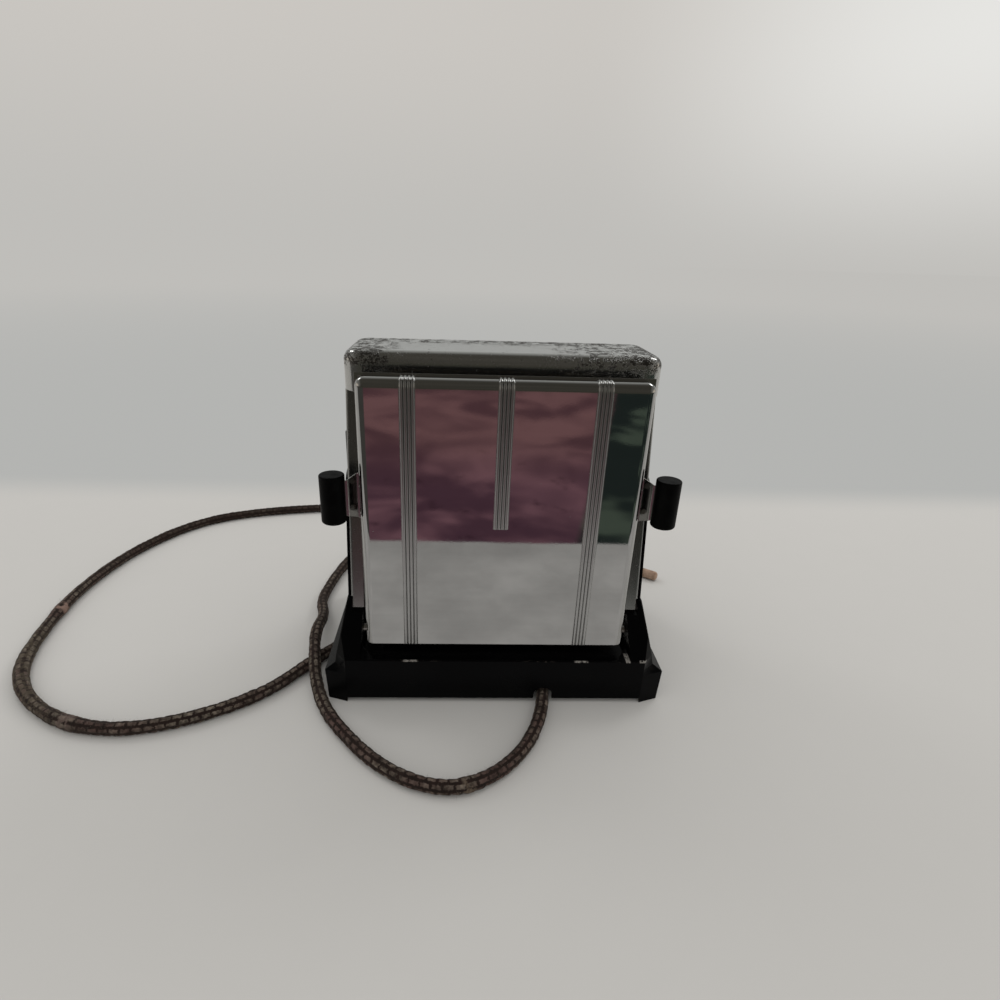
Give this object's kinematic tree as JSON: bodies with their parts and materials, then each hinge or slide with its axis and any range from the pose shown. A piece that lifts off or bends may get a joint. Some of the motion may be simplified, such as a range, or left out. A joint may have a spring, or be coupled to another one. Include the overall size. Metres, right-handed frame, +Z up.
{
  "type": "drop side toaster",
  "caption": "Electric toaster with a drop down door on each long side, an upright heating element between them, a black pressed base and a cloth covered lead",
  "frame": {"origin": "on the floor, under the middle of the base", "axes": "+X to the right of the front door, +Y from the front door to the back door, +Z up"},
  "size_m": [0.4601, 0.3576, 0.202],
  "materials": {
    "black_enamel": "gloss",
    "plating": "worn bright plating",
    "bare_steel": "dull",
    "black_moulding": "gloss",
    "spring_steel": "blued",
    "mica": "matt sheet",
    "resistance_ribbon": "oxidised",
    "porcelain": "glazed",
    "brass_fittings": "tarnished",
    "lead_wire": "tarnished",
    "black_rubber": "matt",
    "braided_cloth": "woven",
    "bound_end": "bound"
  },
  "bodies": {
    "base": {"base_pan": "black_enamel", "bottom_plate": "black_enamel", "bottom_plate_screws": "bare_steel", "end_panel_left": "plating", "end_panel_right": "plating", "end_shield_left": "black_enamel", "end_shield_right": "black_enamel", "frame_rivets": "bare_steel", "top_cap": "plating", "cap_screws": "bare_steel", "element_mica": "mica", "element_ribbon": "resistance_ribbon", "element_rail_bottom": "bare_steel", "element_rail_top": "bare_steel", "element_terminals": "brass_fittings", "bread_guard_front": "bare_steel", "bread_guard_back": "bare_steel", "terminal_block": "porcelain", "terminal_screws": "brass_fittings", "element_lead_left": "lead_wire", "element_lead_right": "lead_wire", "supply_wires": "lead_wire", "cord_bushing": "black_rubber", "cord": "braided_cloth", "cord_end": "bound_end", "front_hinge_pins": "bare_steel", "back_hinge_pins": "bare_steel"},
    "front_door_body": {"front_door": "plating", "front_door_rivets": "bare_steel", "front_knob_screws": "bare_steel", "front_door_springs": "spring_steel", "front_bracket_left": "plating", "front_knob_left": "black_moulding", "front_bracket_right": "plating", "front_knob_right": "black_moulding"},
    "back_door_body": {"back_door": "plating", "back_door_rivets": "bare_steel", "back_knob_screws": "bare_steel", "back_door_springs": "spring_steel", "back_bracket_left": "plating", "back_knob_left": "black_moulding", "back_bracket_right": "plating", "back_knob_right": "black_moulding"}
  },
  "joints": [
    {"name": "front_door_hinge", "type": "hinge", "parent": "base", "child": "front_door_body", "pos_m": [0, -0.041, 0.038], "axis": [1, 0, 0], "range_deg": [0, 89], "stiffness_Nm_per_rad": 0.05, "springref_deg": -45.84},
    {"name": "back_door_hinge", "type": "hinge", "parent": "base", "child": "back_door_body", "pos_m": [0, 0.041, 0.038], "axis": [-1, 0, 0], "range_deg": [0, 89], "stiffness_Nm_per_rad": 0.05, "springref_deg": -45.84}
  ]
}
